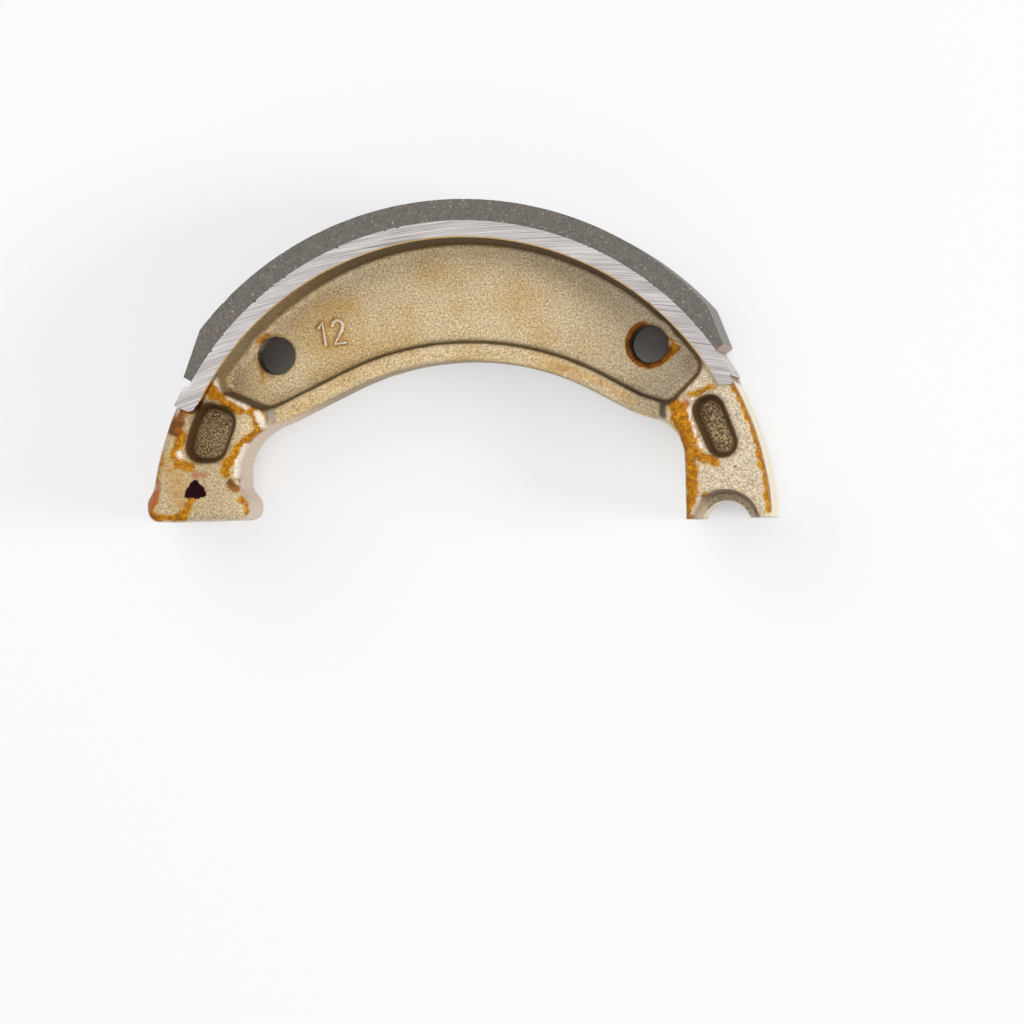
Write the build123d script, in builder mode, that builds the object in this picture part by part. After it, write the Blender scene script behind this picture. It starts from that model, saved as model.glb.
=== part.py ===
from build123d import *
import math
import os

os.makedirs("parts", exist_ok=True)

# Frame: the anchor pin's axis is Z through the origin, at the middle of the shoe's width.
# +X runs from the drum's axis towards the anchor pin, and +Y from the split face towards the lining.
# The table is the outer face of the rim, which carries the lining. A depth is measured inwards
# from the table along a radius, and a direction is in degrees about the drum's axis from +X.

# Radii and thicknesses
lining_outer_radius = 54.8
lining_thickness = 3.5
rim_thickness = 2.8
cam_back_rise = 0.8
anchor_back_drop = 0.4

# Across the shoe, measured along Z
shoe_width = 25.0
cam_end_inset = 2.5
anchor_end_inset = 0.5
rib_width = 12.0
web_thickness = 7.0

# Directions of the table's two ends. The side strip of the rim, which is machined, starts just before
# the table and runs on past its shoulder as a tongue.
table_start_angle = 28.5
shoulder_angle = 150.5
shoulder_turn = 0.6
strip_lead_angle = 0.2
tongue_turn = 4.3
tongue_radius = 1.6

# The lining: the directions where its inner face starts and ends, and the chamfers on its ends
lining_start_angle = 33.8
lining_end_angle = 149.4
anchor_chamfer_turn = 7.1
cam_chamfer_turn = 8.5
lining_end_thickness = 1.5

# Anchor end: the seat's axis lies at this depth, and the throat is the end's inner side
seat_depth = 8.1
seat_to_throat = 6.4
split_face_height = 1.05
seat_radius = 4.0
seat_length = 11.0
seat_ledge_width = 1.1
seat_mouth_flare = 0.75

# Cam end: its foot has a heel beyond the table and a toe beyond the throat
cam_face_height = 3.05
foot_height = 5.4
foot_overhang = 1.25
foot_length = 17.25
heel_height = 3.5
toe_height = 3.2
heel_radii = (1.5, 2.0)
toe_radii = (1.9, 1.6)
foot_root_radius = 0.8
cam_throat_depth = 14.4

# Hub edge, the line round the inside of the shoe: its corners and how they are rounded. A bend lies
# between a throat and a flank, and its drop is how far its corner is below the flank's corner.
cam_bend_drop = 3.0
cam_bend_radius = 8.0
cam_flank_depth = 16.7
cam_flank_angle = 146.1
crown_depth = 17.5
crown_angle = 86.3
crown_radius = 44.0
anchor_flank_depth = 17.3
anchor_flank_angle = 33.6
flank_foot_radius = 10.0
anchor_bend_drop = 2.87
anchor_bend_radius = 6.3

# Rib along the hub edge, and the slopes that end it against the two thick ends
rib_thickness = 3.1
cam_slope_setback = 5.9
anchor_slope_setback = 4.1
cam_slope_angle = 20.0
anchor_slope_angle = 10.0

# Recess in each side of the web: its end walls start at the rim in these directions and run at a tilt
recess_draft_angle = 5.0
recess_floor_fillet = 1.2
recess_corner_radius = 2.2
recess_cam_angle = 148.0
recess_cam_tilt_angle = -24.8
recess_anchor_angle = 33.2
recess_anchor_tilt_angle = 44.5
end_overlap = 2.0

# Pockets that lighten the thick ends: the corners of their floors
pocket_depth = 5.0
pocket_draft_angle = 9.0
pocket_floor_fillet = 0.9
cam_pocket_depths = [3.6, 8.5, 8.8, 3.8, 3.5]
cam_pocket_angles = [152.4, 151.6, 161.3, 163.7, 157.2]
cam_pocket_radii = [1.4, 1.8, 1.8, 1.8, 12.0]
anchor_pocket_depths = [7.9, 4.1, 4.3, 7.8]
anchor_pocket_angles = [26.9, 26.7, 14.7, 15.7]
anchor_pocket_radii = [1.6, 1.7, 1.6, 1.8]

# Spring holes through the web, each as far from its own end of the shoe
spring_hole_radius = 3.0
spring_hole_depth = 8.0
spring_hole_angle = 44.2

# Rounded edges of the casting
end_edge_radius = 1.0
rib_edge_radius = 0.45
pocket_edge_radius = 0.5
hole_edge_radius = 0.4

# How far a cut runs on past what it cuts, how near an edge counts as lying on a surface, and the
# most of a straight run that the rounding of one of its corners may take
overrun = 2.0
nearness = 0.01
rounded_share = 0.9

table_radius = lining_outer_radius - lining_thickness
rim_inner_radius = table_radius - rim_thickness
cam_back_radius = table_radius + cam_back_rise
anchor_back_radius = table_radius - anchor_back_drop
drum_offset = table_radius - seat_depth

half_width = shoe_width / 2
cam_end_top = half_width - cam_end_inset
anchor_end_top = half_width - anchor_end_inset
rib_top = rib_width / 2
web_top = web_thickness / 2


def from_drum(x, y):
    """A point given from the drum's axis."""
    return (x - drum_offset, y)


def on_drum(radius, degrees):
    """A point on a circle about the drum's axis."""
    turn = math.radians(degrees)
    return from_drum(radius * math.cos(turn), radius * math.sin(turn))


def at_depth(depth, degrees):
    """A point at a depth below the table, in a direction about the drum's axis."""
    return on_drum(table_radius - depth, degrees)


def height_angle(radius, height):
    """The direction of the point at this height on a circle about the drum's axis, on its +X side."""
    return math.degrees(math.asin(height / radius))


def drum_arc(radius, start, end):
    """An arc about the drum's axis from one direction to another."""
    middle = (start + end) / 2
    return ThreePointArc(on_drum(radius, start), on_drum(radius, middle), on_drum(radius, end))


def rise_run(height, degrees):
    """How far a wall leans over this height, at this angle from upright."""
    return height * math.tan(math.radians(degrees))


def crossing(line_a, line_b):
    """Where two straight lines meet, each given as a point and a direction in degrees."""
    (ax, ay), a = line_a
    (bx, by), b = line_b
    a, b = math.radians(a), math.radians(b)
    run = ((bx - ax) * math.sin(b) - (by - ay) * math.cos(b)) / math.sin(b - a)
    return (ax + run * math.cos(a), ay + run * math.sin(a))


def beside(start, end, distance):
    """The line through two points, moved to its left by a distance, as a point and a direction."""
    turn = math.atan2(end[1] - start[1], end[0] - start[0])
    point = (start[0] - distance * math.sin(turn), start[1] + distance * math.cos(turn))
    return point, math.degrees(turn)


def limited_radius(radius, before, corner, after):
    """This radius for rounding a corner, or less where its two runs leave no room for it."""
    turn = math.atan2(after[1] - corner[1], after[0] - corner[0])
    turn -= math.atan2(corner[1] - before[1], corner[0] - before[0])
    run = min(math.dist(before, corner), math.dist(corner, after))
    return min(radius, rounded_share * run / abs(math.tan(turn / 2)))


# Outline of the casting, seen along Z

cam_throat_x = cam_throat_depth - table_radius
anchor_throat_x = drum_offset - seat_to_throat
foot_outer_x = -table_radius - foot_overhang
foot_inner_x = foot_outer_x + foot_length
foot_top = cam_face_height + foot_height
foot_back_angle = 180 - height_angle(cam_back_radius, foot_top)
split_angle = height_angle(anchor_back_radius, split_face_height)

cam_flank = at_depth(cam_flank_depth, cam_flank_angle)
anchor_flank = at_depth(anchor_flank_depth, anchor_flank_angle)
hub_corners = [
    from_drum(cam_throat_x, cam_flank[1] - cam_bend_drop),
    cam_flank,
    at_depth(crown_depth, crown_angle),
    anchor_flank,
    from_drum(anchor_throat_x, anchor_flank[1] - anchor_bend_drop),
]
foot_root = from_drum(cam_throat_x, foot_top)
throat_end = from_drum(anchor_throat_x, split_face_height)
hub_line = [foot_root, *hub_corners, throat_end]
wanted_radii = [cam_bend_radius, flank_foot_radius, crown_radius, flank_foot_radius, anchor_bend_radius]
hub_radii = [
    limited_radius(*corner) for corner in zip(wanted_radii, hub_line, hub_line[1:], hub_line[2:])
]

with BuildSketch() as silhouette:
    with BuildLine():
        drum_arc(anchor_back_radius, split_angle, table_start_angle)
        Line(on_drum(anchor_back_radius, table_start_angle), on_drum(table_radius, table_start_angle))
        drum_arc(table_radius, table_start_angle, shoulder_angle)
        Line(on_drum(table_radius, shoulder_angle), on_drum(cam_back_radius, shoulder_angle + shoulder_turn))
        drum_arc(cam_back_radius, shoulder_angle + shoulder_turn, foot_back_angle)
        FilletPolyline(
            on_drum(cam_back_radius, foot_back_angle),
            from_drum(foot_outer_x, cam_face_height + heel_height),
            from_drum(foot_outer_x, cam_face_height),
            from_drum(foot_inner_x, cam_face_height),
            from_drum(foot_inner_x, cam_face_height + toe_height),
            *hub_line,
            radius=[*heel_radii, *toe_radii, foot_root_radius, *hub_radii],
        )
        Line(throat_end, on_drum(anchor_back_radius, split_angle))
    make_face()


# The strip of the rim whose side face is machined, at the full width; it ends level at the anchor end

strip_outer_radius = cam_back_radius + overrun
strip_start_angle = table_start_angle - strip_lead_angle
tongue_end_angle = shoulder_angle + tongue_turn
strip_start = on_drum(rim_inner_radius, strip_start_angle)
strip_outer_angle = height_angle(strip_outer_radius, strip_start[1])
tongue_corner = on_drum(rim_inner_radius, tongue_end_angle)

with BuildSketch() as rim_strip:
    with BuildLine():
        drum_arc(rim_inner_radius, strip_start_angle, tongue_end_angle)
        Line(tongue_corner, on_drum(strip_outer_radius, tongue_end_angle))
        drum_arc(strip_outer_radius, strip_outer_angle, tongue_end_angle)
        Line(on_drum(strip_outer_radius, strip_outer_angle), strip_start)
    make_face()
    fillet(rim_strip.vertices().sort_by_distance(tongue_corner)[0], tongue_radius)

# The recess at the level of the web: its two ends and its side along the rib

floor_rim_radius = rim_inner_radius - rise_run(half_width - web_top, recess_draft_angle)
rib_line = rib_thickness + rise_run(rib_top - web_top, recess_draft_angle)
cam_end_line = (on_drum(floor_rim_radius, recess_cam_angle), recess_cam_tilt_angle)
anchor_end_line = (on_drum(floor_rim_radius, recess_anchor_angle), recess_anchor_tilt_angle)
rib_runs = [beside(start, end, rib_line) for start, end in zip(hub_corners, hub_corners[1:])]
cam_recess_corner = crossing(cam_end_line, rib_runs[0])
anchor_recess_corner = crossing(rib_runs[-1], anchor_end_line)

with BuildPart() as recess_core:
    with BuildSketch(Plane.XY.offset(web_top)) as recess_floor:
        with BuildLine():
            FilletPolyline(
                cam_end_line[0],
                cam_recess_corner,
                crossing(rib_runs[0], rib_runs[1]),
                crossing(rib_runs[1], rib_runs[2]),
                crossing(rib_runs[2], rib_runs[3]),
                anchor_recess_corner,
                anchor_end_line[0],
                radius=[
                    recess_corner_radius,
                    flank_foot_radius - rib_line,
                    crown_radius + rib_line,
                    flank_foot_radius - rib_line,
                    recess_corner_radius,
                ],
            )
            drum_arc(floor_rim_radius, recess_anchor_angle, recess_cam_angle)
        make_face()
        rim_corners = recess_floor.vertices().sort_by(Axis.X)
        fillet([rim_corners[0], rim_corners[-1]], recess_corner_radius)
    extrude(amount=half_width - web_top + overrun, taper=-recess_draft_angle)
    fillet(recess_core.faces().sort_by(Axis.Z)[0].edges(), recess_floor_fillet)

# The parts that are lower than the rim: the rib with the web, and the two thick ends. Each is a slab
# of the silhouette, cut to its side view and rounded along the outline.


def on_outline(edge):
    """Whether an edge runs along the casting's outline."""
    middle = edge @ 0.5
    return silhouette.wire().distance_to(Vector(middle.X, middle.Y)) < nearness


def on_split_face(edge):
    """Whether an edge lies on the flat face that ends the shoe across the anchor pin's seat."""
    return abs((edge @ 0.5).Y - split_face_height) < nearness


def slab(start, end, top, edge_radius):
    """The silhouette from one place along X to another, off the rim's strip, its upper edges rounded."""
    with BuildPart() as block:
        with BuildSketch():
            add(silhouette.sketch)
            with Locations(from_drum((start + end) / 2, 0)):
                Rectangle(abs(end - start), 2 * beyond, mode=Mode.INTERSECT)
            add(rim_strip.sketch, mode=Mode.SUBTRACT)
        extrude(amount=top)
        top_edges = block.edges().filter_by_position(Axis.Z, top, top)
        outline_edges = top_edges.filter_by(on_outline).filter_by(on_split_face, reverse=True)
        fillet(outline_edges, edge_radius)
    return block.part


def thick_end(rib_end, far_end, top, slope_angle):
    """A thick end, with the slope that runs down from its side face into the rib."""
    outwards = math.copysign(1, far_end - rib_end)
    slope_foot = rib_end - outwards * rise_run(rib_top, slope_angle)
    slope_top = from_drum(rib_end + outwards * rise_run(top - rib_top, slope_angle), top)
    with BuildPart() as block:
        add(slab(slope_foot, far_end, top, end_edge_radius))
        with BuildSketch(Plane.XZ) as side_view:
            with BuildLine():
                Polyline(
                    from_drum(far_end, 0),
                    from_drum(slope_foot, 0),
                    slope_top,
                    from_drum(far_end, top),
                    close=True,
                )
            make_face()
            fillet(side_view.vertices().sort_by_distance(slope_top)[0], end_edge_radius)
        extrude(amount=-lining_outer_radius, mode=Mode.INTERSECT)
    return block.part


beyond = strip_outer_radius + overrun
rib_cam_end = cam_throat_x + cam_slope_setback
rib_anchor_end = anchor_throat_x - anchor_slope_setback

rib_slab = slab(-beyond, beyond, rib_top, rib_edge_radius)
cam_end = thick_end(rib_cam_end, -beyond, cam_end_top, cam_slope_angle)
anchor_end = thick_end(rib_anchor_end, beyond, anchor_end_top, anchor_slope_angle)

# The rim at the full width: past the recess's two end walls only its strip is left

cam_side = beside(cam_end_line[0], cam_recess_corner, end_overlap)
anchor_side = beside(anchor_recess_corner, anchor_end_line[0], end_overlap)

with BuildSketch() as low_ends:
    for side, rib_end, far_end in ((cam_side, rib_cam_end, -beyond), (anchor_side, rib_anchor_end, beyond)):
        with BuildLine():
            Polyline(
                crossing(side, (from_drum(rib_end, 0), 90)),
                from_drum(rib_end, -overrun),
                from_drum(far_end, -overrun),
                crossing(side, (from_drum(far_end, 0), 90)),
                close=True,
            )
        make_face()
    add(rim_strip.sketch, mode=Mode.SUBTRACT)

with BuildSketch() as rim_outline:
    add(silhouette.sketch)
    with Locations(from_drum(0, 0)):
        Circle(floor_rim_radius - 2 * recess_corner_radius, mode=Mode.SUBTRACT)
    add(low_ends.sketch, mode=Mode.SUBTRACT)


def pocket_core(depths, angles, radii, end_top):
    """The space inside a pocket, from its floor up past the shoe's side face."""
    corners = [at_depth(depth, angle) for depth, angle in zip(depths, angles)]
    with BuildPart() as core:
        with BuildSketch(Plane.XY.offset(end_top - pocket_depth)):
            with BuildLine():
                FilletPolyline(*corners, radius=radii, close=True)
            make_face()
        extrude(amount=half_width - end_top + pocket_depth + overrun, taper=-pocket_draft_angle)
        fillet(core.faces().sort_by(Axis.Z)[0].edges(), pocket_floor_fillet)
    return core.part


cam_pocket = pocket_core(cam_pocket_depths, cam_pocket_angles, cam_pocket_radii, cam_end_top)
anchor_pocket = pocket_core(
    anchor_pocket_depths, anchor_pocket_angles, anchor_pocket_radii, anchor_end_top
)

# Half of the casting, from its middle plane to one side


def cut_surface(core):
    """A test for edges that lie on the surface which this core has cut."""
    return lambda edge: core.shell().distance_to(edge @ 0.5) < nearness


with BuildPart() as half_casting:
    add(rim_outline.sketch)
    extrude(amount=half_width)
    add([rib_slab, cam_end, anchor_end])
    add(recess_core.part, mode=Mode.SUBTRACT)
    for core, end_top in ((cam_pocket, cam_end_top), (anchor_pocket, anchor_end_top)):
        add(core, mode=Mode.SUBTRACT)
        top_edges = half_casting.edges().filter_by_position(Axis.Z, end_top, end_top)
        fillet(top_edges.filter_by(cut_surface(core)), pocket_edge_radius)

# The casting: both halves, with the half-round seat for the anchor pin and the two spring holes

seat_ledge_height = seat_length / 2
seat_ledge_radius = seat_radius + seat_ledge_width
cone_top = anchor_end_top + overrun
cone_share = (cone_top - seat_ledge_height) / (anchor_end_top - seat_ledge_height)
cone_top_radius = seat_ledge_radius + seat_mouth_flare * cone_share
spring_hole_angles = (spring_hole_angle, 180 - spring_hole_angle)


def on_hole_mouth(edge):
    """Whether an edge is the mouth of a spring hole, in one of the web's two side faces."""
    same_size = abs(edge.radius - spring_hole_radius) < nearness
    return same_size and abs(abs((edge @ 0.5).Z) - web_top) < nearness


with BuildPart() as shoe_casting:
    add(half_casting.part)
    mirror(about=Plane.XY)
    with BuildSketch(Plane.XZ):
        with BuildLine():
            Polyline(
                (0, -cone_top),
                (cone_top_radius, -cone_top),
                (seat_ledge_radius, -seat_ledge_height),
                (seat_radius, -seat_ledge_height),
                (seat_radius, seat_ledge_height),
                (seat_ledge_radius, seat_ledge_height),
                (cone_top_radius, cone_top),
                (0, cone_top),
                close=True,
            )
        make_face()
    revolve(axis=Axis.Z, mode=Mode.SUBTRACT)
    with Locations(*[at_depth(spring_hole_depth, angle) for angle in spring_hole_angles]):
        Hole(spring_hole_radius)
    hole_edges = shoe_casting.edges().filter_by(GeomType.CIRCLE).filter_by(on_hole_mouth)
    fillet(hole_edges, hole_edge_radius)
shoe_casting.part.label = "shoe_casting"
export_step(shoe_casting.part, "parts/shoe_casting.step")

# The lining, bonded to the rim's outer face, with a chamfer on each end

friction_start_angle = lining_start_angle + anchor_chamfer_turn
friction_end_angle = lining_end_angle - cam_chamfer_turn
lining_end_radius = table_radius + lining_end_thickness

with BuildPart() as friction_lining:
    with BuildSketch(Plane.XY.offset(-half_width)):
        with BuildLine():
            drum_arc(table_radius, lining_start_angle, lining_end_angle)
            Polyline(
                on_drum(table_radius, lining_end_angle),
                on_drum(lining_end_radius, lining_end_angle),
                on_drum(lining_outer_radius, friction_end_angle),
            )
            drum_arc(lining_outer_radius, friction_end_angle, friction_start_angle)
            Polyline(
                on_drum(lining_outer_radius, friction_start_angle),
                on_drum(lining_end_radius, lining_start_angle),
                on_drum(table_radius, lining_start_angle),
            )
        make_face()
    extrude(amount=shoe_width)
friction_lining.part.label = "friction_lining"
export_step(friction_lining.part, "parts/friction_lining.step")
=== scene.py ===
import math

import bmesh
import bpy
import numpy as np
from mathutils import Matrix, Vector, noise
from mathutils.bvhtree import BVHTree
from mathutils.kdtree import KDTree


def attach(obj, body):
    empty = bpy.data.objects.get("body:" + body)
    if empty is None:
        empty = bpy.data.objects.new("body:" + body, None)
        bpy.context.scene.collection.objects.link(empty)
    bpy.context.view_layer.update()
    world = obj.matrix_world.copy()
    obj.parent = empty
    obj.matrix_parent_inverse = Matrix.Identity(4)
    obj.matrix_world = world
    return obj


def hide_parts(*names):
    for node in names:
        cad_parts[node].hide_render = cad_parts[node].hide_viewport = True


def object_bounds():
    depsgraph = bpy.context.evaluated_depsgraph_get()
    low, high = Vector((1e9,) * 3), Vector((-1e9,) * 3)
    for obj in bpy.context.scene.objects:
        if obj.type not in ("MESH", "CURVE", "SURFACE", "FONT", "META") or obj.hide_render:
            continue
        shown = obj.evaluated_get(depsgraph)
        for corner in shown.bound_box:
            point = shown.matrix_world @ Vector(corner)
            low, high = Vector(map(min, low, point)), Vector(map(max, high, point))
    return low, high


MM = 0.001

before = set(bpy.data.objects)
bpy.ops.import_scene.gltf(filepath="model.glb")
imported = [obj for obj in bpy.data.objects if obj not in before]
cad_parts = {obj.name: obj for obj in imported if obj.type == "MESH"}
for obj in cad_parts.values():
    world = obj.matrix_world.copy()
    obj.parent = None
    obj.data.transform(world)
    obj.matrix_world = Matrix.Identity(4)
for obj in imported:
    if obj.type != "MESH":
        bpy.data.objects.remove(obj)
cad_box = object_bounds()
floor_height = cad_box[0].z

# The part's own places, in millimetres in its frame
HALF_WIDTH = 12.5
DRUM_OFFSET = 43.2
TABLE_RADIUS = 51.3
RIM_INNER_RADIUS = 48.5
WEB_TOP = 3.5
ANCHOR_END_TOP = 12.0
SPLIT_FACE = 1.05
SEAT_MOUTH_RADIUS = 6.0
SEAT_LEDGE_TOP = 5.5
CAM_HOLE = (-74.24, 30.19)
ANCHOR_HOLE = (-12.16, 30.19)
HOLE_RADIUS = 3.0

# The view: the camera stands over one point of the floor and looks at another, in millimetres. The
# image's scale is in pixels per millimetre where the camera looks.
CAMERA_HEIGHT = 1300
CAMERA_FOOT = (78.25, -5.92)
CAMERA_AIM = (-37.14, 3.25)
VIEW_TURN = 1.68
FLOOR_SCALE = 5.971
IMAGE_PIXELS = 1024
SENSOR_WIDTH = 36.0
CLIP_END = 20

# The floor, in metres: its size, its tones, how strongly its shadow is lifted where it lies open, how
# far away the part still covers it, and how dark its painted shadow is there
FLOOR_HALF_SIZE = 3.0
FLOOR_TONE = (0.955, 0.955, 0.96)
FLOOR_WHITE = (0.98, 0.98, 0.985)
FLOOR_LIFT = 0.62
FLOOR_REACH = 0.03
COVER_RAYS = 12
PAINTED_SHADOW_TONE = 0.3

# The light: a dome's strength at the horizon and overhead, what is seen behind the part, and the
# lamps' places, diameters and powers in metres and watts
DOME_LOW = 0.12
DOME_TOP = 0.76
BACKDROP = 0.85
LIT_PLACE = (-0.043, 0.02, 0)
LAMPS = {
    "key": ((0.95, -0.08, 0.66), 0.40, 6.4),
    "fill": ((-0.62, 0.62, 0.95), 1.1, 5.0),
}

# The meshes, in millimetres
CASTING_VOXEL = 0.42
LINING_VOXEL = 0.34
SNAP_SHARE = 0.68
SHARP_ANGLE = 0.5
SMOOTH_ANGLE = math.radians(38)
CAVITY_REACH = 6
CAVITY_RAYS = 24
RAY_LIFT = 0.2
WALL_STEP = 1.5
SEAT_LEDGE_REACH = 5.15
FLAT_MARGIN = 0.03
EDGE_MARGIN = 0.05
GREY_RADII = (43.0, 46.5)

# The relief of the cast skin: each layer's depth and the size of its bumps
SKIN_LAYERS = [(0.03, 2.6), (0.02, 1.1)]

# The lining's chips and pits: their depths, their sizes, and how much the chips spare what is not an edge
CHIP_DEPTH = 0.10
CHIP_SIZE = 0.9
CHIP_SHARE_INSIDE = 0.25
PIT_DEPTH = 0.06
PIT_SIZE = 0.7

# How far strokes wander and over what length: those of varnish, and the fine painted highlights
WANDER = (0.55, 1.3)
FINE_WANDER = (0.25, 0.9)

# The rings of varnish round the holes: their directions in degrees, their width and their strengths
ANCHOR_RING = (120, 330)
CAM_RING = (90, 250)
RING_WIDTH = 0.7
RING_REACH = 1.3
CAM_RING_STRENGTH = 0.35
BURNT_RING_STRENGTH = 0.85

# A face counts as a wall by its normal's part along Z: fully below the first, not above the second
OUTER_SLOPES = (0.35, 0.8)
INNER_SLOPES = (0.5, 0.93)


def link(name, data):
    obj = bpy.data.objects.new(name, data)
    bpy.context.scene.collection.objects.link(obj)
    return obj


def smoothstep(values, low, high):
    share = np.clip((values - low) / (high - low), 0, 1)
    return share * share * (3 - 2 * share)


# Nodes


class Nodes:
    """A node tree, built with short calls."""

    def __init__(self, tree):
        self.tree = tree

    def add(self, kind):
        return self.tree.nodes.new(kind)

    def put(self, socket, value):
        if isinstance(value, bpy.types.NodeSocket):
            self.tree.links.new(value, socket)
        elif isinstance(value, tuple) and len(value) == 3 and socket.type == "RGBA":
            socket.default_value = (*value, 1)
        else:
            socket.default_value = value

    def math(self, operation, *values, clamp=False):
        node = self.add("ShaderNodeMath")
        node.operation = operation
        node.use_clamp = clamp
        for socket, value in zip(node.inputs, values):
            self.put(socket, value)
        return node.outputs[0]

    def times(self, first, second, clamp=False):
        return self.math("MULTIPLY", first, second, clamp=clamp)

    def larger(self, first, second):
        return self.math("MAXIMUM", first, second)

    def mix(self, share, first, second, blend="MIX"):
        node = self.add("ShaderNodeMix")
        node.data_type = "RGBA"
        node.blend_type = blend
        self.put(node.inputs["Factor"], share)
        self.put(node.inputs[6], first)
        self.put(node.inputs[7], second)
        return node.outputs[2]

    def ramp(self, value, low, high, start=0.0, end=1.0, smooth=True):
        node = self.add("ShaderNodeMapRange")
        if smooth:
            node.interpolation_type = "SMOOTHSTEP"
        self.put(node.inputs["Value"], value)
        for name, number in (("From Min", low), ("From Max", high), ("To Min", start), ("To Max", end)):
            node.inputs[name].default_value = number
        return node.outputs[0]

    def scaled(self, vector, factor):
        node = self.add("ShaderNodeVectorMath")
        node.operation = "SCALE"
        self.put(node.inputs[0], vector)
        self.put(node.inputs["Scale"], factor)
        return node.outputs[0]

    def parts(self, vector):
        node = self.add("ShaderNodeSeparateXYZ")
        self.put(node.inputs[0], vector)
        return node.outputs

    def vector(self, x, y, z):
        node = self.add("ShaderNodeCombineXYZ")
        for socket, value in zip(node.inputs, (x, y, z)):
            self.put(socket, value)
        return node.outputs[0]


class SurfaceNodes(Nodes):
    """A material's nodes. Its places are in millimetres."""

    def __init__(self, name):
        self.material = bpy.data.materials.new(name)
        self.material.use_nodes = True
        super().__init__(self.material.node_tree)
        self.surface = self.tree.nodes["Principled BSDF"]
        place = self.add("ShaderNodeTexCoord").outputs["Object"]
        self.place = self.scaled(place, 1 / MM)
        self.x, self.y, self.z = self.parts(self.place)

    def noise(self, scale, detail=2.0, place=None, roughness=0.5):
        node = self.add("ShaderNodeTexNoise")
        self.put(node.inputs["Vector"], place or self.place)
        node.inputs["Scale"].default_value = scale
        node.inputs["Detail"].default_value = detail
        node.inputs["Roughness"].default_value = roughness
        return node.outputs[0]

    def value(self, name):
        """A value that the mesh holds at its points."""
        node = self.add("ShaderNodeAttribute")
        node.attribute_name = name
        return node.outputs["Fac"]

    def radius_about(self, x, y):
        """The distance from an axis parallel to Z, and the direction about it."""
        across = self.math("SUBTRACT", self.x, x)
        up = self.math("SUBTRACT", self.y, y)
        squares = self.math("MULTIPLY_ADD", across, across, self.times(up, up))
        return self.math("SQRT", squares), self.math("ARCTAN2", up, across)

    def grained(self, tone, grain, low, high, dark, pale):
        """A colour made darker and paler by the grain."""
        shades = self.mix(self.ramp(grain, low, high), dark, pale)
        return self.mix(1.0, tone, shades, "MULTIPLY")

    def bump(self, height, depth):
        node = self.add("ShaderNodeBump")
        node.inputs["Strength"].default_value = 1.0
        node.inputs["Distance"].default_value = depth * MM
        self.put(node.inputs["Height"], height)
        return node.outputs[0]


def seen_directly(nodes):
    """1 for what the camera sees, straight, mirrored or through glass, and 0 for lighting."""
    path = nodes.add("ShaderNodeLightPath")
    seen = path.outputs["Is Camera Ray"]
    for name in ("Is Glossy Ray", "Is Transmission Ray"):
        seen = nodes.larger(seen, path.outputs[name])
    return seen


# Camera, floor and light


def add_camera():
    foot = Vector((*CAMERA_FOOT, 0)) * MM
    aim = Vector((*CAMERA_AIM, 0)) * MM
    foot.z = floor_height + CAMERA_HEIGHT * MM
    aim.z = floor_height
    back = (foot - aim).normalized()
    turn = math.radians(VIEW_TURN)
    right = Vector((math.cos(turn), -math.sin(turn), 0))
    right = (right - back * right.dot(back)).normalized()
    up = back.cross(right)
    camera = bpy.data.cameras.new("camera")
    focal_pixels = (foot - aim).length * FLOOR_SCALE / MM
    camera.sensor_width = SENSOR_WIDTH
    camera.lens = SENSOR_WIDTH * focal_pixels / IMAGE_PIXELS
    camera.clip_end = CLIP_END
    obj = link("camera", camera)
    obj.matrix_world = Matrix.Translation(foot) @ Matrix((right, up, back)).transposed().to_4x4()
    bpy.context.scene.camera = obj


def floor_material():
    """A pale matt floor. Where it lies open its shadow is soft; what the part covers stays dark under a
    painted shadow.
    """
    material = bpy.data.materials.new("floor")
    material.use_nodes = True
    nodes = Nodes(material.node_tree)
    matt = nodes.tree.nodes["Principled BSDF"]
    matt.inputs["Roughness"].default_value = 0.9
    matt.inputs["Specular IOR Level"].default_value = 0.0
    white = nodes.add("ShaderNodeEmission")
    nodes.put(white.inputs["Color"], FLOOR_WHITE)
    cover = nodes.add("ShaderNodeAmbientOcclusion")
    cover.inputs["Distance"].default_value = FLOOR_REACH
    cover.samples = COVER_RAYS
    openness = cover.outputs["AO"]
    # A painted shadow: the floor's colour darker where the part covers it
    depth = nodes.ramp(openness, 0.02, 0.25, PAINTED_SHADOW_TONE, smooth=False)
    nodes.put(matt.inputs["Base Color"], nodes.scaled(FLOOR_TONE, depth))
    lift = nodes.ramp(openness, 0.12, 0.5, 0.0, FLOOR_LIFT)
    both = nodes.add("ShaderNodeMixShader")
    nodes.put(both.inputs[0], nodes.times(lift, seen_directly(nodes)))
    nodes.put(both.inputs[1], matt.outputs[0])
    nodes.put(both.inputs[2], white.outputs[0])
    nodes.put(nodes.tree.nodes["Material Output"].inputs["Surface"], both.outputs[0])
    return material


def add_floor():
    mesh = bpy.data.meshes.new("floor")
    half = FLOOR_HALF_SIZE
    corners = [(-half, -half), (half, -half), (half, half), (-half, half)]
    mesh.from_pydata([(x, y, floor_height) for x, y in corners], [], [(0, 1, 2, 3)])
    floor = link("floor", mesh)
    mesh.materials.append(floor_material())


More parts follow.
